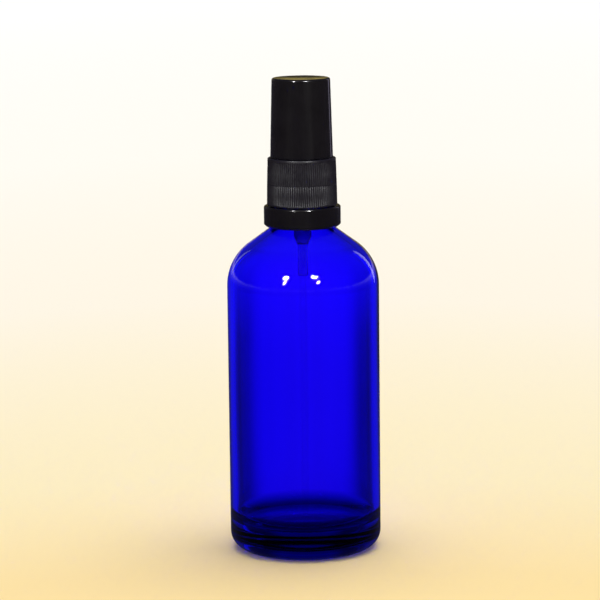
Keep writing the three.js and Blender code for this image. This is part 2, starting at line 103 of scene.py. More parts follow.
# Collar
COLLAR_FOOT_RADIUS, COLLAR_BOTTOM, SPIGOT_TOP = outer_size("collar")
COLLAR_TOP = 116.08
COLLAR_HEAD_RADIUS = 9.94
COLLAR_WAIST = 108.5
COLLAR_WAIST_RADIUS = 10.17
COLLAR_BORE = 9.15
COLLAR_THREAD = dict(start=103.25, turns=1.25, foot=0.5, crest=0.3)
COLLAR_THREAD_SPAN = (107.8, 102.8)
COLLAR_THREAD_DEPTH = 0.75
DECK_BOTTOM = 114.95
DECK_HOLE = 3.6
SPIGOT_RADIUS = 7.95
SPIGOT_BORE = 6.9
RIBS = 96
RIB_DEPTH = 0.2
RIB_TOP = COLLAR_TOP - 0.75
RIB_BOTTOM = COLLAR_BOTTOM + 0.35
RIB_RUN_OUT = 0.12

# Overcap
CAP_FOOT_RADIUS, CAP_BOTTOM, CAP_TOP = outer_size("overcap")
CAP_HEAD_RADIUS = 8.52
CAP_SOCKET = 8.12
CAP_SOCKET_DEPTH = 4.1
CAP_WALL = 1.05
CAP_ROOF = 1.35
CAP_EDGE = 0.6
CAP_DISH_DEPTH = 0.16

# Pump
_, GASKET_BOTTOM, GASKET_TOP = outer_size("neck_gasket")
FLANGE_RADIUS, TUBE_SPIGOT_BOTTOM, FLANGE_TOP = outer_size("pump_housing")
FLANGE_BOTTOM = FLANGE_TOP - 1.0
BARREL_RADIUS = 4.3
BARREL_BORE = 3.2
BARREL_LEDGE = 97.2
TAIL_RADIUS = 2.575
TAIL_BORE = 1.75
TAIL_BOTTOM = 92.12
TAIL_TOP = 95.2
TUBE_SPIGOT_RADIUS = 1.58
TUBE_SPIGOT_TOP = 89.95
BALL_SEAT_TOP = 92.3
BALL_SEAT_BOTTOM = 91.4
BALL_SEAT_RADIUS = 0.8
VENT_HEIGHT = 110.9
VENT_RADIUS = 0.35
TUBE_RADIUS, TUBE_BOTTOM, TUBE_TOP = outer_size("dip_tube")
TUBE_BORE = 0.75
_, TURRET_BOTTOM, TURRET_TOP = outer_size("turret")
TURRET_FLANGE_TOP = TURRET_BOTTOM + 0.85
SEAL_RADIUS, SEAL_BOTTOM, SEAL_TOP = outer_size("stem_seal")
CAGE_RADIUS, CAGE_BOTTOM, CAGE_TOP = outer_size("ball_cage")
STEM_FLANGE_RADIUS, STEM_BOTTOM, STEM_TOP = outer_size("stem")
STEM_RADIUS = 1.7
STEM_BORE = 0.95
STEM_FLANGE_TOP = 112.2
STEM_FLANGE_BOTTOM = 111.4
PISTON_RADIUS, PISTON_BOTTOM, PISTON_TOP = outer_size("piston")
PISTON_STEP = PISTON_BOTTOM + 0.9
HEAD_RADIUS, PIN_BOTTOM, SHANK_TOP = outer_size("core_rod")
HEAD_BOTTOM = PIN_BOTTOM + 1.2
HEAD_TOP = HEAD_BOTTOM + 0.8
SHANK_WIDTH = 1.2
RETURN_SPRING = dict(radius=2.3, turns=6, wire=0.5)
PISTON_SPRING = dict(radius=2.2, turns=3, wire=0.35)
_, RETURN_SPRING_BOTTOM, RETURN_SPRING_TOP = outer_size("return_spring")
_, PISTON_SPRING_BOTTOM, PISTON_SPRING_TOP = outer_size("piston_spring")

# Button and nozzle
BUTTON_RADIUS, BUTTON_BOTTOM, BUTTON_TOP = outer_size("actuator")
BUTTON_WALL = 1.0
BUTTON_EDGE = 0.8
BUTTON_CEILING = 126.5
FINGER_DISH_RADIUS = 9.0
FINGER_DISH_DEPTH = 1.1
SOCKET_RADIUS = STEM_RADIUS + 0.06
SOCKET_WALL_RADIUS = 2.8
NOZZLE_HEIGHT = 128.9
NOZZLE_RECESS_RADIUS = 2.0
NOZZLE_RECESS_BACK = 3.9
NOZZLE_POST_RADIUS = 1.15
INSERT_LENGTH = 1.85

FINE = 192
SMALL = 96


# ---- Shaping -------------------------------------------------------------------------------------

def arc(r, z, radius, start, end, steps):
    """Points (radius, height) along an arc round (r, z), from one angle to another in degrees."""
    angles = np.radians(np.linspace(start, end, steps + 1))
    return [(r + radius * math.cos(a), z + radius * math.sin(a)) for a in angles]


def softened(outline, radius=0.1, steps=4, closed=True):
    """The outline with each corner turned into a short curve."""
    made = []
    for i, point in enumerate(outline):
        corner = Vector(point)
        back = Vector(outline[i - 1]) - corner
        ahead = Vector(outline[(i + 1) % len(outline)]) - corner
        is_end = not closed and i in (0, len(outline) - 1)
        if is_end or back.length < 1e-6 or ahead.length < 1e-6 or back.angle(ahead) > math.radians(165):
            made.append(tuple(corner))
            continue
        reach = min(radius, 0.45 * back.length, 0.45 * ahead.length)
        start, end = corner + back.normalized() * reach, corner + ahead.normalized() * reach
        for t in np.linspace(0, 1, steps + 1):
            made.append(tuple(start * (1 - t) ** 2 + corner * 2 * t * (1 - t) + end * t * t))
    return made


def piece_from(name, vertices, faces):
    """A smooth-shaded object made of vertices in millimetres."""
    mesh = bpy.data.meshes.new(name)
    mesh.from_pydata(vertices.reshape(-1, 3) * MM, [], faces)
    shape = bmesh.new()
    shape.from_mesh(mesh)
    bmesh.ops.remove_doubles(shape, verts=shape.verts, dist=1e-8)
    bmesh.ops.recalc_face_normals(shape, faces=shape.faces)
    shape.to_mesh(mesh)
    shape.free()
    piece = bpy.data.objects.new(name, mesh)
    bpy.context.scene.collection.objects.link(piece)
    return shaded(piece)


def shaded(piece):
    """Smooth shading that stays crisp at sharp edges and true on the large faces beside small ones."""
    piece.data.shade_smooth()
    piece.data.set_sharp_from_angle(angle=math.radians(35))
    if not piece.modifiers:
        weighting = piece.modifiers.new("weighted_normals", "WEIGHTED_NORMAL")
        weighting.keep_sharp = True
    return piece


def turned(name, *stretches, segments=FINE):
    """A piece turned round Z. Each stretch is an outline, or an outline with the relief on it.

    Together the stretches run up the outside and down the inside, from axis to axis or back to their
    start. A relief says how far the surface stands proud at a height and an angle.
    """
    angles = np.linspace(0, 2 * np.pi, segments, endpoint=False)
    rows = []
    for stretch in stretches:
        outline, relief = stretch if isinstance(stretch, tuple) else (stretch, None)
        r, z = np.array(outline, float).T[:, :, None]
        radius = r + (relief(z, angles) if relief else 0 * angles)
        rows.append(np.stack((radius * np.cos(angles), radius * np.sin(angles), z + 0 * radius), -1))
    grid = np.concatenate(rows)
    count = len(grid)
    on_axis = abs(grid[0, 0, 0]) < 1e-9
    faces = []
    for i in range(count - 1 if on_axis else count):
        for j in range(segments):
            a, b = i * segments, (i + 1) % count * segments
            k = (j + 1) % segments
            faces.append((a + j, a + k, b + k, b + j))
    return piece_from(name, grid, faces)


def coil(name, bottom, top, radius, turns, wire, sides=14, steps_per_turn=40):
    """A compression spring with one close coil at each end."""
    close_pitch = wire * 1.02
    open_pitch = (top - bottom - wire - 2 * close_pitch) / (turns - 2)
    steps = turns * steps_per_turn
    turn = np.linspace(0, turns, steps + 1)
    opened = np.clip(turn - 1, 0, turns - 2)
    height = bottom + wire / 2 + (turn - opened) * close_pitch + opened * open_pitch
    angle = 2 * np.pi * turn
    outward = np.stack((np.cos(angle), np.sin(angle), 0 * angle), -1)
    centre = outward * radius
    centre[:, 2] = height
    along = np.gradient(centre, axis=0)
    along /= np.linalg.norm(along, axis=1)[:, None]
    upward = np.cross(outward, along)
    around = np.linspace(0, 2 * np.pi, sides, endpoint=False)[None, :, None]
    section = np.cos(around) * outward[:, None] + np.sin(around) * upward[:, None]
    rings = centre[:, None] + wire / 2 * section
    faces = [
        (i * sides + j, i * sides + (j + 1) % sides, (i + 1) * sides + (j + 1) % sides, (i + 1) * sides + j)
        for i in range(steps)
        for j in range(sides)
    ]
    faces += [tuple(range(sides)), tuple(range(steps * sides, (steps + 1) * sides))]
    return piece_from(name, rings, faces)


def block(name, size, centre, turn=0.0):
    """A box of a size round a centre, then turned about Z by an angle in radians."""
    shape = bmesh.new()
    bmesh.ops.create_cube(shape, size=1, matrix=Matrix.Diagonal((*size, 1)))
    shape.transform(Matrix.Rotation(turn, 4, "Z") @ Matrix.Translation(centre))
    vertices = np.array([vertex.co for vertex in shape.verts])
    faces = [tuple(vertex.index for vertex in face.verts) for face in shape.faces]
    shape.free()
    return piece_from(name, vertices, faces)


def front_rod(name, radius, near, far, height):
    """A round rod along Y, between two distances in front of the axis."""
    rod = turned(name, [(0, near), (radius, near), (radius, far), (0, far)], segments=SMALL)
    return faced_front(rod, 0, height)


def faced_front(piece, distance, height):
    """Turns a piece whose front is +Z to face -Y, and sets it in front of the axis at a height."""
    place = Matrix.Translation(Vector((0, -distance, height)) * MM)
    piece.data.transform(place @ Matrix.Rotation(math.pi / 2, 4, "X"))
    return piece


def combined(piece, tools, operation):
    """The piece with tools cut from it or joined to it, and the tools gone."""
    for tool in tools:
        step = piece.modifiers.new(operation.lower(), "BOOLEAN")
        step.operation = operation
        step.solver = "EXACT"
        step.object = tool
    weighting = piece.modifiers.get("weighted_normals")
    if weighting:
        piece.modifiers.remove(weighting)
    evaluated = piece.evaluated_get(bpy.context.evaluated_depsgraph_get())
    mesh = bpy.data.meshes.new_from_object(evaluated)
    piece.modifiers.clear()
    piece.data = mesh
    for tool in tools:
        bpy.data.objects.remove(tool)
    return shaded(piece)


def thread_rise(z, angle, start, turns, foot, crest):
    """How far a right-hand thread has risen, from 0 to 1. Foot and crest are half widths."""
    rise = 0 * (z + angle)
    for lap in range(math.ceil(turns)):
        along = (angle / (2 * np.pi) + lap) / turns
        away = abs(z - start - along * turns * THREAD_PITCH)
        flank = np.clip((foot - away) / (foot - crest), 0, 1)
        ends = np.clip(np.minimum(along, 1 - along) / THREAD_FADE, 0, 1)
        rise = np.maximum(rise, flank**2 * (3 - 2 * flank) * ends)
    return rise


def thread_rows(radius, start, end, spacing=0.13):
    """Closely spaced points up a straight wall that carries a thread."""
    heights = np.linspace(start, end, math.ceil(abs(end - start) / spacing))
    return [(radius, z) for z in heights]


# ---- Materials -----------------------------------------------------------------------------------

GLASS_IOR = 1.52
GLASS_SHEEN = (0.20, 0.18, 0.28, 1)
COBALT = (0.299, 0.019, 0.976, 1)
DYE_DENSITY = 1800


def new_material(name):
    made = bpy.data.materials.new(name)
    made.use_nodes = True
    return made, made.node_tree, made.node_tree.nodes["Principled BSDF"]


def noise(tree, scale, stretch=(1, 1, 1), detail=2.0):
    """Noise over the piece, with its scale in cycles per metre."""
    where = tree.nodes.new("ShaderNodeTexCoord")
    mapping = tree.nodes.new("ShaderNodeMapping")
    mapping.inputs["Scale"].default_value = stretch
    texture = tree.nodes.new("ShaderNodeTexNoise")
    texture.inputs["Scale"].default_value = scale
    texture.inputs["Detail"].default_value = detail
    tree.links.new(where.outputs["Object"], mapping.inputs["Vector"])
    tree.links.new(mapping.outputs["Vector"], texture.inputs["Vector"])
    return texture.outputs["Fac"]


def spread(tree, factor, low, high, socket):
    """Drives a socket between two values."""
    ranged = tree.nodes.new("ShaderNodeMapRange")
    ranged.inputs["From Min"].default_value = 0.3
    ranged.inputs["From Max"].default_value = 0.7
    ranged.inputs["To Min"].default_value = low
    ranged.inputs["To Max"].default_value = high
    tree.links.new(factor, ranged.inputs["Value"])
    tree.links.new(ranged.outputs["Result"], socket)


def tint(tree, factor, dark, light, socket):
    """Drives a colour socket between two colours."""
    ramp = tree.nodes.new("ShaderNodeValToRGB")
    ramp.color_ramp.elements[0].position = 0.3
    ramp.color_ramp.elements[0].color = (*dark, 1)
    ramp.color_ramp.elements[1].position = 0.7
    ramp.color_ramp.elements[1].color = (*light, 1)
    tree.links.new(factor, ramp.inputs["Fac"])
    tree.links.new(ramp.outputs["Color"], socket)


def bump(tree, factor, depth, shader, strength=1.0):
    """Relief of a depth in millimetres."""
    relief = tree.nodes.new("ShaderNodeBump")
    relief.inputs["Distance"].default_value = depth * MM
    relief.inputs["Strength"].default_value = strength
    tree.links.new(factor, relief.inputs["Height"])
    tree.links.new(relief.outputs["Normal"], shader.inputs["Normal"])


def plastic(name, dark, light, roughness, specular, grain, depth, stretch=(1, 1, 1), **more):
    """Moulded plastic: a narrow range of colour, uneven gloss and a fine skin."""
    made, tree, shader = new_material(name)
    shader.inputs["Specular IOR Level"].default_value = specular
    for socket, value in more.items():
        shader.inputs[socket.replace("_", " ")].default_value = value
    tint(tree, noise(tree, grain / 6), dark, light, shader.inputs["Base Color"])
    spread(tree, noise(tree, grain / 3, stretch), *roughness, shader.inputs["Roughness"])
    bump(tree, noise(tree, grain, stretch, detail=3), depth, shader)
    return made


def cobalt_glass():
    """Cobalt-blue glass: clear at its surfaces, and dyed through its thickness."""
    made, tree, shader = new_material("cobalt_glass")
    shader.inputs["Base Color"].default_value = (1, 1, 1, 1)
    shader.inputs["Transmission Weight"].default_value = 1
    shader.inputs["IOR"].default_value = GLASS_IOR
    shader.inputs["Specular Tint"].default_value = GLASS_SHEEN
    spread(tree, noise(tree, 90), 0.0, 0.006, shader.inputs["Roughness"])
    bump(tree, noise(tree, 55, detail=1), 0.01, shader, strength=0.3)
    dye = tree.nodes.new("ShaderNodeVolumeAbsorption")
    dye.inputs["Color"].default_value = COBALT
    dye.inputs["Density"].default_value = DYE_DENSITY
    tree.links.new(dye.outputs["Volume"], tree.nodes["Material Output"].inputs["Volume"])
    return made


def clear_plastic(name, ior, roughness, thin, thick=None, heights=None):
    """Natural polypropylene or polyethylene. Thin walls are clear. Above some height it goes from its thin
    colour to a darker, milky colour between two heights in millimetres: milky where the plastic is thicker,
    and darker there as painted shade."""
    made, tree, shader = new_material(name)
    shader.inputs["Transmission Weight"].default_value = 1
    shader.inputs["IOR"].default_value = ior
    spread(tree, noise(tree, 900, (1, 1, 0.1)), *roughness, shader.inputs["Roughness"])
    mottled = tree.nodes.new("ShaderNodeMix")
    mottled.data_type = "RGBA"
    tint(tree, noise(tree, 400), [0.97 * part for part in thin], thin, mottled.inputs["A"])
    tree.links.new(mottled.outputs["Result"], shader.inputs["Base Color"])
    mottled.inputs["Factor"].default_value = 0
    if thick:
        tint(tree, noise(tree, 400), [0.85 * part for part in thick], thick, mottled.inputs["B"])
        where = tree.nodes.new("ShaderNodeTexCoord")
        split = tree.nodes.new("ShaderNodeSeparateXYZ")
        rise = tree.nodes.new("ShaderNodeMapRange")
        rise.inputs["From Min"].default_value = heights[0] * MM
        rise.inputs["From Max"].default_value = heights[1] * MM
        clear = tree.nodes.new("ShaderNodeMapRange")
        clear.inputs["To Min"].default_value = 1
        clear.inputs["To Max"].default_value = 0.3
        tree.links.new(where.outputs["Object"], split.inputs["Vector"])
        tree.links.new(split.outputs["Z"], rise.inputs["Value"])
        tree.links.new(rise.outputs["Result"], mottled.inputs["Factor"])
        tree.links.new(rise.outputs["Result"], clear.inputs["Value"])
        tree.links.new(clear.outputs["Result"], shader.inputs["Transmission Weight"])
    return made


def steel(name, roughness, stretch, depth):
    """Stainless steel with a drawn or polished surface."""
    made, tree, shader = new_material(name)
    shader.inputs["Metallic"].default_value = 1
    tint(tree, noise(tree, 1500), (0.50, 0.50, 0.52), (0.68, 0.68, 0.69), shader.inputs["Base Color"])
    spread(tree, noise(tree, 3000, stretch), *roughness, shader.inputs["Roughness"])
    bump(tree, noise(tree, 6000, stretch), depth, shader)
    return made


GLASS = cobalt_glass()
GLOSS_BLACK = plastic(
    "gloss_black", (0.0078, 0.0071, 0.0102), (0.0106, 0.0097, 0.0140), (0.10, 0.20),
    specular=0.12, grain=900, depth=0.004, stretch=(1, 1, 0.06),
)
SATIN_BLACK = plastic(
    "satin_black", (0.0114, 0.0098, 0.0186), (0.0150, 0.0132, 0.0246), (0.34, 0.46),
    specular=0.06, grain=2600, depth=0.02,
)
WHITE_PLASTIC = plastic(
    "white_plastic", (0.74, 0.74, 0.71), (0.84, 0.84, 0.81), (0.35, 0.48),
    specular=0.5, grain=2200, depth=0.01, Subsurface_Weight=0.25, Subsurface_Scale=0.0008,
)
SOFT_SEAL = plastic(
    "soft_seal", (0.64, 0.64, 0.60), (0.74, 0.74, 0.70), (0.6, 0.75),
    specular=0.4, grain=3000, depth=0.02, Subsurface_Weight=0.15, Subsurface_Scale=0.0006,
)
# Above the tube spigot the cylinder's plastic is milky where it is thicker. Its dark grey there is painted
# shade, for the tail that sits in shade inside the bottle.
NATURAL_PLASTIC = clear_plastic(
    "natural_plastic", 1.48, (0.02, 0.08), (0.88, 0.88, 0.90), (0.26, 0.26, 0.28),
    heights=(TUBE_SPIGOT_TOP, TAIL_BOTTOM - 0.4),
)
CLEAR_TUBE = clear_plastic("clear_tube", 1.02, (0.0, 0.02), (0.99, 0.99, 0.99))
SPRING_STEEL = steel("spring_steel", (0.18, 0.32), (1, 1, 0.2), 0.004)
POLISHED_STEEL = steel("polished_steel", (0.04, 0.10), (1, 1, 1), 0.001)


def fitted(piece, body, slot, material, *nodes):
    """Gives a piece its material, sets it on its body, and hides the CAD nodes it stands for."""
    piece.data.materials.clear()
    piece.data.materials.append(material)
    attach(piece, body)
    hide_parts(*nodes)
    return piece


# ---- Glass ---------------------------------------------------------------------------------------

def bottle():
    centre = BODY_RADIUS - SHOULDER_ARC
    slope = math.tan(math.radians(SHOULDER_ANGLE))
    inner_arc = SHOULDER_ARC - WALL
    inner_radius = BODY_RADIUS - WALL

    def cone_height(arc_radius, radius):
        r, z = arc(centre, SHOULDER_START, arc_radius, SHOULDER_ANGLE, SHOULDER_ANGLE, 0)[0]
        return z + (r - radius) / slope

    def thread(z, angle):
        return (FINISH_CREST - FINISH_ROOT) * thread_rise(z, angle, **BOTTLE_THREAD)

    def unevenness(z, angle):
        """Blown glass is thicker in some places than in others."""
        return 0.07 * np.sin(2 * angle + z / 30) + 0.04 * np.sin(3 * angle - z / 17 + 1)

    fillet_top = cone_height(SHOULDER_ARC, NECK_RADIUS)
    fillet_top += NECK_FILLET * math.tan(math.radians(SHOULDER_ANGLE / 2))
    dome_radius = (BEARING_RING_INNER**2 + PUSH_UP**2) / (2 * PUSH_UP)
    dome_angle = math.degrees(math.asin(BEARING_RING_INNER / dome_radius))
    floor_edge = inner_radius - FLOOR_FILLET

    base = softened(
        arc(0, PUSH_UP - dome_radius, dome_radius, 90, 90 - dome_angle, 14)
        + [(BODY_RADIUS - HEEL_RADIUS, 0)],
        radius=0.5, closed=False,
    )
    wall = (
        arc(BODY_RADIUS - HEEL_RADIUS, HEEL_RADIUS, HEEL_RADIUS, -86, 0, 22)
        + arc(centre, SHOULDER_START, SHOULDER_ARC, 0, SHOULDER_ANGLE, 28)
        + arc(NECK_RADIUS + NECK_FILLET, fillet_top, NECK_FILLET, 180 + SHOULDER_ANGLE, 180, 8)
    )
    bead = softened(
        [
            wall[-1],
            (NECK_RADIUS, BEAD_BOTTOM - 0.4),
            (BEAD_RADIUS, BEAD_BOTTOM),
            (BEAD_RADIUS, BEAD_BOTTOM + BEAD_HEIGHT),
            (FINISH_ROOT, BEAD_BOTTOM + 2 * BEAD_HEIGHT),
            (FINISH_ROOT, BEAD_BOTTOM + 3 * BEAD_HEIGHT),
        ],
        radius=0.3, closed=False,
    )[1:]
    finish = thread_rows(FINISH_ROOT, *BOTTLE_THREAD_SPAN)
    lip = arc(FINISH_ROOT - LIP_ROUND, FINISH_TOP - LIP_ROUND, LIP_ROUND, 0, 90, 6)
    lip += arc(MOUTH_RADIUS + LIP_ROUND, FINISH_TOP - LIP_ROUND, LIP_ROUND, 90, 180, 6)
    throat = softened(
        [
            (MOUTH_RADIUS, FINISH_TOP - 2),
            (MOUTH_RADIUS, cone_height(inner_arc, MOUTH_RADIUS)),
            arc(centre, SHOULDER_START, inner_arc, SHOULDER_ANGLE, 0, 1)[0],
        ],
        radius=2, steps=10, closed=False,
    )[:-1]
    inside = (
        arc(centre, SHOULDER_START, inner_arc, SHOULDER_ANGLE, 0, 28)
        + [(inner_radius, z) for z in np.linspace(SHOULDER_START, FLOOR_HEIGHT + FLOOR_FILLET, 12)[1:-1]]
        + arc(floor_edge, FLOOR_HEIGHT + FLOOR_FILLET, FLOOR_FILLET, 0, -90, 18)[:-1]
    )
    floor = [
        (r, FLOOR_HEIGHT + FLOOR_CROWN / 2 * (1 + math.cos(math.pi * r / floor_edge)))
        for r in np.linspace(floor_edge, 0, 14)
    ]
    piece = turned(
        "glass_bottle", base, wall, bead, (finish, thread), lip, throat, (inside, unevenness), floor
    )
    return fitted(piece, "bottle", "cobalt_glass", GLASS, "bottle", "bottle_neck")


# ---- Closure -------------------------------------------------------------------------------------

def tamper_ring():
    outline = softened(
        [
            (RING_LIP_RADIUS + 0.45, RING_BOTTOM),
            (RING_RADIUS - 0.92, RING_BOTTOM),
            (RING_RADIUS, RING_BOTTOM + 0.76),
            *arc(RING_RADIUS - 0.47, RING_TOP - 0.47, 0.47, 0, 90, 8),
            (RING_BORE, RING_TOP),
            (RING_BORE, BEAD_BOTTOM - 0.15),
            (RING_LIP_RADIUS, BEAD_BOTTOM - 0.3),
            (RING_LIP_RADIUS, RING_BOTTOM + 0.7),
        ],
        radius=0.22,
    )
    ring = turned("tamper_evident_ring", outline)
    foot = RING_TOP - 0.1
    bridges = [
        block(
            "bridge",
            (BRIDGE_THICKNESS, BRIDGE_WIDTH, BRIDGE_TOP - foot),
            (RING_BORE + 0.25, 0, (BRIDGE_TOP + foot) / 2),
            2 * math.pi * (i + 0.5) / BRIDGES,
        )
        for i in range(BRIDGES)
    ]
    combined(ring, bridges, "UNION")
    return fitted(ring, "bottle", "gloss_black", GLOSS_BLACK, "tamper_ring")


def collar():
    def ribs(z, angle):
        """Rounded ribs that stand on the outline, with the grooves between them cut into it."""
        inside = np.clip(np.minimum(z - RIB_BOTTOM, RIB_TOP - z) / RIB_RUN_OUT, 0, 1)
        away = np.clip(abs(z - COLLAR_WAIST) / RIB_RUN_OUT, 0, 1)
        groove = 0.5 - 0.5 * np.cos(RIBS * angle)
        return -RIB_DEPTH * np.maximum(groove * inside, 1 - away) * inside

    def thread(z, angle):
        return -COLLAR_THREAD_DEPTH * thread_rise(z, angle, **COLLAR_THREAD)

    def radius_at(z):
        heights = (COLLAR_BOTTOM, COLLAR_WAIST, COLLAR_TOP)
        return float(np.interp(z, heights, (COLLAR_FOOT_RADIUS, COLLAR_WAIST_RADIUS, COLLAR_HEAD_RADIUS)))

    lower = [RIB_BOTTOM, RIB_BOTTOM + RIB_RUN_OUT, 105.5, COLLAR_WAIST - RIB_RUN_OUT]
    upper = [COLLAR_WAIST + RIB_RUN_OUT, 112, RIB_TOP - RIB_RUN_OUT, RIB_TOP]
    rows = [COLLAR_BOTTOM + 0.2, *lower, COLLAR_WAIST, *upper]
    outside = [(radius_at(z), z) for z in rows]
    head = softened(
        [
            outside[-1],
            (radius_at(COLLAR_TOP), COLLAR_TOP),
            (SPIGOT_RADIUS, COLLAR_TOP),
            (SPIGOT_RADIUS, SPIGOT_TOP),
            (SPIGOT_BORE, SPIGOT_TOP),
            (SPIGOT_BORE, COLLAR_TOP),
            (DECK_HOLE, COLLAR_TOP),
            (DECK_HOLE, DECK_BOTTOM),
            (COLLAR_BORE, DECK_BOTTOM),
            (COLLAR_BORE, 109),
        ],
        radius=0.3, closed=False,
    )[1:]
    inside = thread_rows(COLLAR_BORE, *COLLAR_THREAD_SPAN)
    foot = softened(
        [
            (COLLAR_BORE, COLLAR_BOTTOM + 0.4),
            (COLLAR_BORE, COLLAR_BOTTOM),
            (radius_at(COLLAR_BOTTOM) - 0.02, COLLAR_BOTTOM),
            outside[0],
        ],
        radius=0.15, closed=False,
    )[:-1]
    piece = turned(
        "screw_collar", (outside, ribs), head, (inside, thread), foot, segments=RIBS * 6
    )
    return fitted(piece, "collar", "satin_black", SATIN_BLACK, "collar")


def overcap():
    ceiling = CAP_TOP - CAP_ROOF
    step = CAP_BOTTOM + CAP_SOCKET_DEPTH
    draft = (CAP_FOOT_RADIUS - CAP_HEAD_RADIUS) / (CAP_TOP - CAP_BOTTOM)
    dish_edge = CAP_HEAD_RADIUS - CAP_EDGE - 0.3

    def inner_radius(z):
        return CAP_FOOT_RADIUS - draft * (z - CAP_BOTTOM) - CAP_WALL

    body = softened(
        [
            (0, ceiling),
            (inner_radius(ceiling), ceiling),
            (inner_radius(step), step + 0.3),
            (CAP_SOCKET, step),
            (CAP_SOCKET, CAP_BOTTOM),
            (CAP_FOOT_RADIUS, CAP_BOTTOM),
            (CAP_HEAD_RADIUS + draft * CAP_EDGE, CAP_TOP - CAP_EDGE),
        ],
        radius=0.15, closed=False,
    )[:-1]
    edge = arc(CAP_HEAD_RADIUS - CAP_EDGE, CAP_TOP - CAP_EDGE, CAP_EDGE, 0, 90, 10)
    dish = [
        (r, CAP_TOP - CAP_DISH_DEPTH * (1 - (r / dish_edge) ** 2)) for r in np.linspace(dish_edge, 0, 16)
    ]
    piece = turned("pull_off_overcap", body, edge, dish)
    return fitted(piece, "overcap", "gloss_black", GLOSS_BLACK, "overcap")


# ---- Pump: fixed parts ---------------------------------------------------------------------------

def washer(name, bore, radius, low, high, soft):
    """A flat ring."""
    outline = [(bore, low), (radius, low), (radius, high), (bore, high)]
    return turned(name, softened(outline, radius=soft), segments=SMALL)


def pump_housing():
    outline = softened(
        [
            (TUBE_SPIGOT_RADIUS, TUBE_SPIGOT_BOTTOM),
            (TUBE_SPIGOT_RADIUS, TUBE_SPIGOT_TOP),
            (TAIL_RADIUS, TAIL_BOTTOM),
            (TAIL_RADIUS, TAIL_TOP),
            (BARREL_RADIUS, TAIL_TOP + 1.4),
            (BARREL_RADIUS, FLANGE_BOTTOM),
            (FLANGE_RADIUS, FLANGE_BOTTOM),
            (FLANGE_RADIUS, FLANGE_TOP),
            (BARREL_BORE, FLANGE_TOP),
            (BARREL_BORE, BARREL_LEDGE),
            (TAIL_BORE, BARREL_LEDGE),
            (TAIL_BORE, BALL_SEAT_TOP),
            (BALL_SEAT_RADIUS, BALL_SEAT_BOTTOM),
            (BALL_SEAT_RADIUS, BALL_SEAT_BOTTOM - 1),
            (TUBE_RADIUS + 0.05, BALL_SEAT_BOTTOM - 1.2),
            (TUBE_RADIUS + 0.05, TUBE_SPIGOT_BOTTOM),
        ],
        radius=0.25,
    )
    piece = turned("pump_cylinder", outline, segments=SMALL)
    vent = front_rod("vent", VENT_RADIUS, BARREL_BORE - 1, BARREL_RADIUS + 1, VENT_HEIGHT)
    combined(piece, [vent], "DIFFERENCE")
    return fitted(piece, "pump", "clear_plastic", NATURAL_PLASTIC, "pump_housing")


def turret():
    hole = STEM_RADIUS + 0.15
    outline = softened(
        [
            (BARREL_BORE - 0.1, SEAL_TOP + 0.1),
            (BARREL_BORE - 0.1, TURRET_BOTTOM),
            (FLANGE_RADIUS, TURRET_BOTTOM),
            (FLANGE_RADIUS, TURRET_FLANGE_TOP),
            (DECK_HOLE - 0.5, TURRET_FLANGE_TOP),
            (DECK_HOLE - 0.5, TURRET_TOP - 0.3),
            (DECK_HOLE - 0.8, TURRET_TOP),
            (hole, TURRET_TOP),
            (hole, SEAL_TOP + 0.1),
        ],
        radius=0.12,
    )
    piece = turned("pump_turret", outline, segments=SMALL)
    return fitted(piece, "pump", "satin_black", SATIN_BLACK, "turret")


def ball_cage():
    flange_bottom = BARREL_LEDGE + 0.05
    sleeve = turned(
        "inlet_ball_cage",
        softened(
            [
                (TAIL_BORE - 0.1, CAGE_BOTTOM),
                (TAIL_BORE - 0.1, flange_bottom),
                (CAGE_RADIUS, flange_bottom),
                (CAGE_RADIUS, CAGE_TOP),
                (0.7, CAGE_TOP),
                (0.7, CAGE_BOTTOM),
            ],
            radius=0.08,
        ),
        segments=SMALL,
    )
    slots = [
        block("slot", (1.3, 0.5, 5), (0.65, 0, (CAGE_BOTTOM + CAGE_TOP) / 2), 2 * math.pi * i / 3)
        for i in range(3)
    ]
    combined(sleeve, slots, "DIFFERENCE")
    return fitted(sleeve, "pump", "white_plastic", WHITE_PLASTIC, "ball_cage")


def seals_and_tube():
    gasket = washer("neck_gasket_washer", MOUTH_RADIUS + 0.3, FLANGE_RADIUS, GASKET_BOTTOM, GASKET_TOP, 0.2)
    fitted(gasket, "pump", "soft_seal", SOFT_SEAL, "neck_gasket")
    seal = washer("stem_seal_washer", STEM_RADIUS + 0.08, SEAL_RADIUS, SEAL_BOTTOM, SEAL_TOP, 0.15)
    fitted(seal, "pump", "soft_seal", SOFT_SEAL, "stem_seal")
    tube = washer("suction_tube", TUBE_BORE, TUBE_RADIUS, TUBE_BOTTOM, TUBE_TOP, 0.08)
    fitted(tube, "pump", "clear_plastic", CLEAR_TUBE, "dip_tube")


# ---- Pump: moving parts --------------------------------------------------------------------------

def inlet_ball():
    low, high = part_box("inlet_ball")
    radius, middle = (high.z - low.z) / 2 / MM, (high.z + low.z) / 2 / MM
    piece = turned("inlet_ball_polished", arc(0, middle, radius, -90, 90, 32), segments=64)
    return fitted(piece, "inlet_ball", "polished_steel", POLISHED_STEEL, "inlet_ball")


def springs():
    lift = coil("button_return_spring", RETURN_SPRING_BOTTOM, RETURN_SPRING_TOP, **RETURN_SPRING)
    fitted(lift, "pump", "spring_steel", SPRING_STEEL, "return_spring")
    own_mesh(lift)
    load = coil("valve_load_spring", PISTON_SPRING_BOTTOM, PISTON_SPRING_TOP, **PISTON_SPRING)
    fitted(load, "plunger", "spring_steel", SPRING_STEEL, "piston_spring")
    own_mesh(load)


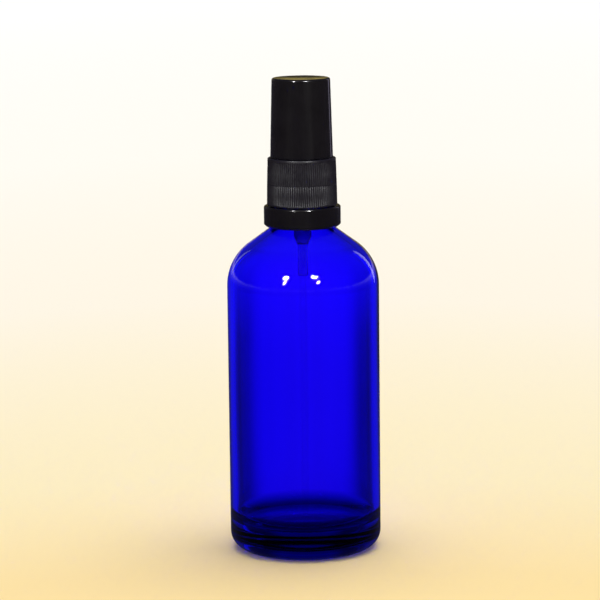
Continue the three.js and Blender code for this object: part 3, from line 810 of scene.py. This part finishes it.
def stem():
    outline = softened(
        [
            (STEM_RADIUS, STEM_BOTTOM),
            (STEM_RADIUS, STEM_FLANGE_BOTTOM),
            (STEM_FLANGE_RADIUS, STEM_FLANGE_BOTTOM),
            (STEM_FLANGE_RADIUS, STEM_FLANGE_TOP),
            (STEM_RADIUS, STEM_FLANGE_TOP),
            (STEM_RADIUS, STEM_TOP),
            (STEM_BORE, STEM_TOP),
            (STEM_BORE, STEM_BOTTOM),
        ],
        radius=0.12,
    )
    piece = turned("hollow_stem", outline, segments=SMALL)
    return fitted(piece, "plunger", "white_plastic", WHITE_PLASTIC, "stem")


def core_rod():
    outline = softened(
        [
            (0, PIN_BOTTOM),
            (1.2, PIN_BOTTOM),
            (1.2, HEAD_BOTTOM),
            (HEAD_RADIUS, HEAD_BOTTOM),
            (HEAD_RADIUS, HEAD_TOP - 0.2),
            (HEAD_RADIUS - 0.3, HEAD_TOP),
            (0, HEAD_TOP),
        ],
        radius=0.12, closed=False,
    )
    piece = turned("valve_core_rod", outline, segments=SMALL)
    foot = HEAD_BOTTOM + 0.2
    shank = block("shank", (SHANK_WIDTH, SHANK_WIDTH, SHANK_TOP - foot), (0, 0, (SHANK_TOP + foot) / 2))
    combined(piece, [shank], "UNION")
    return fitted(piece, "plunger", "white_plastic", WHITE_PLASTIC, "core_rod")


def piston():
    waist = PISTON_RADIUS - 0.4
    lip = 0.6
    narrow, wide = STEM_RADIUS - 0.45, STEM_RADIUS + 0.08
    outline = softened(
        [
            (narrow, PISTON_BOTTOM),
            (PISTON_RADIUS, PISTON_BOTTOM),
            (PISTON_RADIUS, PISTON_BOTTOM + lip / 2),
            (waist, PISTON_BOTTOM + lip),
            (waist, PISTON_TOP - lip),
            (PISTON_RADIUS, PISTON_TOP - lip / 2),
            (PISTON_RADIUS, PISTON_TOP),
            (wide, PISTON_TOP),
            (wide, PISTON_STEP),
            (narrow, PISTON_STEP),
        ],
        radius=0.1,
    )
    piece = turned("pump_piston", outline, segments=SMALL)
    return fitted(piece, "piston", "white_plastic", WHITE_PLASTIC, "piston")


def spray_button():
    dish_edge = math.sqrt(FINGER_DISH_RADIUS**2 - (FINGER_DISH_RADIUS - FINGER_DISH_DEPTH) ** 2)
    dish_centre = BUTTON_TOP - FINGER_DISH_DEPTH + FINGER_DISH_RADIUS
    dish_angle = math.degrees(math.asin(dish_edge / FINGER_DISH_RADIUS))
    channel = NOZZLE_HEIGHT - 1.575
    skirt = BUTTON_BOTTOM + 1.6
    inside = softened(
        [
            (0, channel + 0.4),
            (0.8, channel + 0.4),
            (0.8, STEM_TOP + 0.1),
            (SOCKET_RADIUS, STEM_TOP + 0.1),
            (SOCKET_RADIUS, skirt),
            (SOCKET_WALL_RADIUS, skirt),
            (SOCKET_WALL_RADIUS, BUTTON_CEILING),
            (BUTTON_RADIUS - BUTTON_WALL, BUTTON_CEILING),
            (BUTTON_RADIUS - BUTTON_WALL, BUTTON_BOTTOM),
            (BUTTON_RADIUS, BUTTON_BOTTOM),
            (BUTTON_RADIUS, BUTTON_BOTTOM + 2),
        ],
        radius=0.15, closed=False,
    )
    edge = arc(BUTTON_RADIUS - BUTTON_EDGE, BUTTON_TOP - BUTTON_EDGE, BUTTON_EDGE, 0, 90, 10)
    rim = [edge[-1], (dish_edge, BUTTON_TOP), (dish_edge - 0.6, BUTTON_TOP - 0.3)]
    rim = softened(rim, radius=0.3, closed=False)
    dish = arc(0, dish_centre, FINGER_DISH_RADIUS, -90 + dish_angle - 4, -90, 16)
    piece = turned("spray_button", inside, edge, rim[1:-1], dish, segments=128)
    recess = front_rod(
        "recess", NOZZLE_RECESS_RADIUS, NOZZLE_RECESS_BACK, BUTTON_RADIUS + 1, NOZZLE_HEIGHT
    )
    feed = front_rod("feed", 0.4, -0.2, NOZZLE_RECESS_BACK + 0.3, channel)
    combined(piece, [recess, feed], "DIFFERENCE")
    post = front_rod(
        "post", NOZZLE_POST_RADIUS, NOZZLE_RECESS_BACK - 0.3, NOZZLE_RECESS_BACK + 1.5, NOZZLE_HEIGHT
    )
    combined(piece, [post], "UNION")
    fitted(piece, "button", "gloss_black", GLOSS_BLACK, "actuator")

    radius = NOZZLE_RECESS_RADIUS - 0.08
    face = softened(
        [
            (1.25, 0),
            (radius, 0),
            (radius, INSERT_LENGTH),
            (0.65, INSERT_LENGTH),
            (0.2, INSERT_LENGTH - 0.2),
            (0.2, INSERT_LENGTH - 0.45),
            (1.25, INSERT_LENGTH - 0.45),
        ],
        radius=0.12,
    )
    insert = faced_front(
        turned("nozzle_orifice_cup", face, segments=SMALL), NOZZLE_RECESS_BACK + 0.2, NOZZLE_HEIGHT
    )
    fitted(insert, "button", "gloss_black", GLOSS_BLACK, "nozzle_insert")


# ---- Studio --------------------------------------------------------------------------------------

CAMERA_PLACE = (0, -0.8133, 0.2079)
CAMERA_PITCH = 9.35
CAMERA_PAN = -0.067
CAMERA_ROLL = -0.65
LENS = 168.54

FLOOR_SIZE = 14
# Floor colours, as stops of (distance behind the bottle in metres, colour). So that the floor pales
# every way, a slope and an offset turn a place in front of the bottle into a distance behind it, and the
# square of a place's distance to the side is added FLOOR_ASIDE times.
FLOOR_IN_FRONT = (-1.8, -0.28)
FLOOR_ASIDE = 2
FLOOR = [
    (-0.12, (0.93, 0.71, 0.33)),
    (-0.03, (0.89, 0.69, 0.34)),
    (0.09, (0.88, 0.76, 0.47)),
    (0.45, (0.885, 0.82, 0.69)),
    (1.05, (0.89, 0.865, 0.79)),
    (2.85, (0.90, 0.895, 0.88)),
]

# Shadow under the bottle, as it shows through the glass: how far it reaches and how high it lies in
# metres, and stops of (distance from the axis in metres, darkness)
SHADE_SIZE = 0.1
SHADE_HEIGHT = 0.00005
SHADE = [(0, 1), (0.014, 0.99), (0.019, 0.5), (0.026, 0.16), (0.050, 0.05), (SHADE_SIZE, 0)]

# Dark bands that show through the glass's sides: how many all round, their distance from the axis in
# metres, where they start and are darkest across (1 between bands, -1 in their middles), and stops of
# (height in metres, darkness)
BANDS = 8
BANDS_DISTANCE = 0.11
BANDS_ACROSS = (0.35, -0.9)
BANDS_UP = [(-0.12, 0.2), (-0.03, 0.70), (0.02, 0.76), (0.045, 0.66), (0.08, 0)]

# Light from all round, as stops of (elevation in degrees, colour). The first is what lights the object
# and shows through the glass, and the second is what its surfaces mirror.
SKY = [
    (-90, (0.01, 0.01, 0.01)),
    (-45, (0.20, 0.20, 0.20)),
    (-30, (0.50, 0.50, 0.50)),
    (-14, (0.86, 0.86, 0.86)),
    (-12, (0.98, 0.98, 0.98)),
    (-10.8, (1.0, 1.0, 1.0)),
    (-9, (1.22, 1.22, 1.22)),
    (0, (1.16, 1.16, 1.16)),
    (10, (0.60, 0.60, 0.60)),
    (40, (0.33, 0.33, 0.34)),
    (90, (0.37, 0.37, 0.39)),
]
MIRRORED = [
    (-90, (0.01, 0.01, 0.01)),
    (-20, (0.04, 0.035, 0.06)),
    (-3, (0.05, 0.045, 0.07)),
    (1, (0.20, 0.16, 0.10)),
    (3.0, (0.70, 0.55, 0.14)),
    (4.4, (0.70, 0.55, 0.14)),
    (5.8, (0.03, 0.03, 0.03)),
    (40, (0.07, 0.07, 0.08)),
    (90, (0.18, 0.18, 0.19)),
]


OVERHEAD_STRENGTH = 2.35

# Lamps that only show in reflections: azimuth and elevation in degrees, where azimuth 0 is the camera's
# side and grows to the right, then distance and size in metres, radiance and colour
WHITE = (1, 1, 1)
LAMPS = {
    "lamp_left_high": (-28.0, 30.0, 1.2, (0.16, 0.14), 900, WHITE),
    "lamp_left_low": (-29.5, 18.5, 1.2, (0.12, 0.11), 900, WHITE),
    "lamp_right_high": (18.7, 32.4, 1.2, (0.18, 0.14), 900, WHITE),
    "lamp_right_low": (23.3, 21.0, 1.2, (0.15, 0.13), 900, WHITE),
    "rim_right": (138, 14, 1.0, (0.12, 0.7), 2.4, (0.80, 0.74, 1.0)),
    "rim_left": (-146, 14, 1.0, (0.06, 0.5), 1.2, (0.72, 0.74, 1.0)),
}


def camera():
    made = bpy.data.objects.new("camera", bpy.data.cameras.new("camera"))
    made.data.sensor_width = 36
    made.data.lens = LENS
    made.data.clip_start = 0.01
    made.matrix_world = (
        Matrix.Translation(CAMERA_PLACE)
        @ Matrix.Rotation(math.radians(-CAMERA_PAN), 4, "Z")
        @ Matrix.Rotation(math.radians(90 - CAMERA_PITCH), 4, "X")
        @ Matrix.Rotation(math.radians(CAMERA_ROLL), 4, "Z")
    )
    bpy.context.scene.collection.objects.link(made)
    bpy.context.scene.camera = made


def square(half, height):
    """The corners of a level square round the axis."""
    return [(-half, -half, height), (half, -half, height), (half, half, height), (-half, half, height)]


def floor():
    mesh = bpy.data.meshes.new("floor")
    mesh.from_pydata(square(FLOOR_SIZE / 2, 0), [], [(0, 1, 2, 3)])
    made = bpy.data.objects.new("floor", mesh)
    bpy.context.scene.collection.objects.link(made)
    surface, tree, shader = new_material("pale_floor")
    shader.inputs["Roughness"].default_value = 0.9
    shader.inputs["Specular IOR Level"].default_value = 0.0
    where = tree.nodes.new("ShaderNodeTexCoord")
    split = tree.nodes.new("ShaderNodeSeparateXYZ")
    tree.links.new(where.outputs["Object"], split.inputs["Vector"])
    x, y = split.outputs["X"], split.outputs["Y"]
    away = calculated(tree, "MAXIMUM", y, calculated(tree, "MULTIPLY_ADD", y, *FLOOR_IN_FRONT))
    away = calculated(tree, "MULTIPLY_ADD", calculated(tree, "MULTIPLY", x, x), FLOOR_ASIDE, away)
    tree.links.new(gradient(tree, away, FLOOR), shader.inputs["Base Color"])
    mesh.materials.append(surface)
    made.visible_glossy = False
    made.visible_transmission = False


def seen_through_glass(name, vertices, faces):
    """A stage surface that only shows through clear material."""
    mesh = bpy.data.meshes.new(name)
    mesh.from_pydata(vertices, [], faces)
    made = bpy.data.objects.new(name, mesh)
    made.visible_camera = False
    made.visible_diffuse = False
    made.visible_glossy = False
    made.visible_shadow = False
    bpy.context.scene.collection.objects.link(made)
    surface, tree, shader = new_material(name)
    shader.inputs["Base Color"].default_value = (0, 0, 0, 1)
    shader.inputs["Specular IOR Level"].default_value = 0
    mesh.materials.append(surface)
    where = tree.nodes.new("ShaderNodeTexCoord")
    return tree, shader, where.outputs["Object"]


def shade():
    """The shadow under the bottle, as it shows through the glass."""
    corners = square(SHADE_SIZE, SHADE_HEIGHT)
    tree, shader, where = seen_through_glass("shade_under_bottle", corners, [(0, 1, 2, 3)])
    distance = tree.nodes.new("ShaderNodeVectorMath")
    distance.operation = "LENGTH"
    tree.links.new(where, distance.inputs[0])
    tree.links.new(gradient(tree, distance.outputs["Value"], SHADE), shader.inputs["Alpha"])


def bands():
    """Soft dark bands all round, like a photographer's black cards, that give the glass its dark sides."""
    steps = 64
    turn = [2 * math.pi * i / steps for i in range(steps)]
    ring = [(BANDS_DISTANCE * math.cos(a), BANDS_DISTANCE * math.sin(a)) for a in turn]
    vertices = [(x, y, z) for z in (BANDS_UP[0][0], BANDS_UP[-1][0]) for x, y in ring]
    faces = [(i, (i + 1) % steps, steps + (i + 1) % steps, steps + i) for i in range(steps)]
    tree, shader, where = seen_through_glass("dark_bands", vertices, faces)
    split = tree.nodes.new("ShaderNodeSeparateXYZ")
    tree.links.new(where, split.inputs["Vector"])
    angle = calculated(tree, "ARCTAN2", split.outputs["Y"], split.outputs["X"])
    wave = calculated(tree, "COSINE", calculated(tree, "MULTIPLY", angle, BANDS))
    across = tree.nodes.new("ShaderNodeMapRange")
    across.interpolation_type = "SMOOTHSTEP"
    across.inputs["From Min"].default_value = BANDS_ACROSS[0]
    across.inputs["From Max"].default_value = BANDS_ACROSS[1]
    tree.links.new(wave, across.inputs["Value"])
    up = gradient(tree, split.outputs["Z"], BANDS_UP)
    tree.links.new(calculated(tree, "MULTIPLY", across.outputs["Result"], up), shader.inputs["Alpha"])


def calculated(tree, operation, *values):
    """The result of a sum on sockets and numbers."""
    step = tree.nodes.new("ShaderNodeMath")
    step.operation = operation
    for socket, value in zip(step.inputs, values):
        if isinstance(value, (int, float)):
            socket.default_value = value
        else:
            tree.links.new(value, socket)
    return step.outputs["Value"]


def gradient(tree, value, stops):
    """The colour or number at a value, from stops of (value, colour or number)."""
    lowest, highest = stops[0][0], stops[-1][0]
    ranged = tree.nodes.new("ShaderNodeMapRange")
    ranged.inputs["From Min"].default_value = lowest
    ranged.inputs["From Max"].default_value = highest
    ramp = tree.nodes.new("ShaderNodeValToRGB")
    made = ramp.color_ramp.elements
    for i, (at, colour) in enumerate(stops):
        position = (at - lowest) / (highest - lowest)
        stop = made[i] if i < 2 else made.new(position)
        stop.position = position
        stop.color = (*colour, 1) if isinstance(colour, tuple) else (colour, colour, colour, 1)
    tree.links.new(value, ranged.inputs["Value"])
    tree.links.new(ranged.outputs["Result"], ramp.inputs["Fac"])
    return ramp.outputs["Color"]


def sky():
    world = bpy.data.worlds.new("studio")
    bpy.context.scene.world = world
    world.cycles.sampling_method = "NONE"
    world.use_nodes = True
    tree = world.node_tree
    where = tree.nodes.new("ShaderNodeTexCoord")
    split = tree.nodes.new("ShaderNodeSeparateXYZ")
    tree.links.new(where.outputs["Generated"], split.inputs["Vector"])
    elevation = calculated(tree, "DEGREES", calculated(tree, "ARCSINE", split.outputs["Z"]))
    path = tree.nodes.new("ShaderNodeLightPath")
    glossy, through = path.outputs["Is Glossy Ray"], path.outputs["Is Transmission Ray"]
    either = tree.nodes.new("ShaderNodeMix")
    either.data_type = "RGBA"
    tree.links.new(calculated(tree, "SUBTRACT", glossy, through), either.inputs["Factor"])
    tree.links.new(gradient(tree, elevation, SKY), either.inputs["A"])
    tree.links.new(gradient(tree, elevation, MIRRORED), either.inputs["B"])
    tree.links.new(either.outputs["Result"], tree.nodes["Background"].inputs["Color"])


def overhead():
    """Soft light from above that the glossy surfaces don't mirror."""
    light = bpy.data.lights.new("overhead", "SUN")
    light.energy = OVERHEAD_STRENGTH
    light.angle = math.radians(60)
    made = bpy.data.objects.new("overhead", light)
    made.rotation_euler = (math.radians(-8), math.radians(6), 0)
    made.visible_glossy = False
    made.visible_transmission = False
    bpy.context.scene.collection.objects.link(made)


def lamp(name, azimuth, elevation, distance, size, radiance, colour):
    """A lamp that only shows in reflections, aimed at the shoulder."""
    light = bpy.data.lights.new(name, "AREA")
    light.shape = "ELLIPSE"
    light.size, light.size_y = size
    light.color = colour
    light.energy = radiance * math.pi * math.pi / 4 * size[0] * size[1]
    made = bpy.data.objects.new(name, light)
    around, up = math.radians(azimuth), math.radians(elevation)
    direction = Vector((math.sin(around) * math.cos(up), -math.cos(around) * math.cos(up), math.sin(up)))
    target = Vector((0, 0, SHOULDER_START)) * MM
    made.location = target + direction * distance
    made.rotation_euler = direction.to_track_quat("Z", "Y").to_euler()
    made.visible_diffuse = False
    made.visible_camera = False
    bpy.context.scene.collection.objects.link(made)


def lights():
    sky()
    overhead()
    for name, lamp_facts in LAMPS.items():
        lamp(name, *lamp_facts)


def rendering():
    """Colours as they are, and enough bounces for the light to cross both walls of the bottle."""
    scene = bpy.context.scene
    scene.view_settings.view_transform = "Standard"
    scene.view_settings.look = "None"
    scene.cycles.max_bounces = 24
    scene.cycles.transmission_bounces = 20
    scene.cycles.glossy_bounces = 8
    scene.cycles.transparent_max_bounces = 16
    scene.cycles.use_denoising = True
    scene.cycles.sample_clamp_indirect = 6
    scene.cycles.seed = 7


camera()
floor()
shade()
bands()
lights()
rendering()
bottle()
tamper_ring()
collar()
overcap()
pump_housing()
turret()
ball_cage()
seals_and_tube()
inlet_ball()
springs()
stem()
core_rod()
piston()
spray_button()
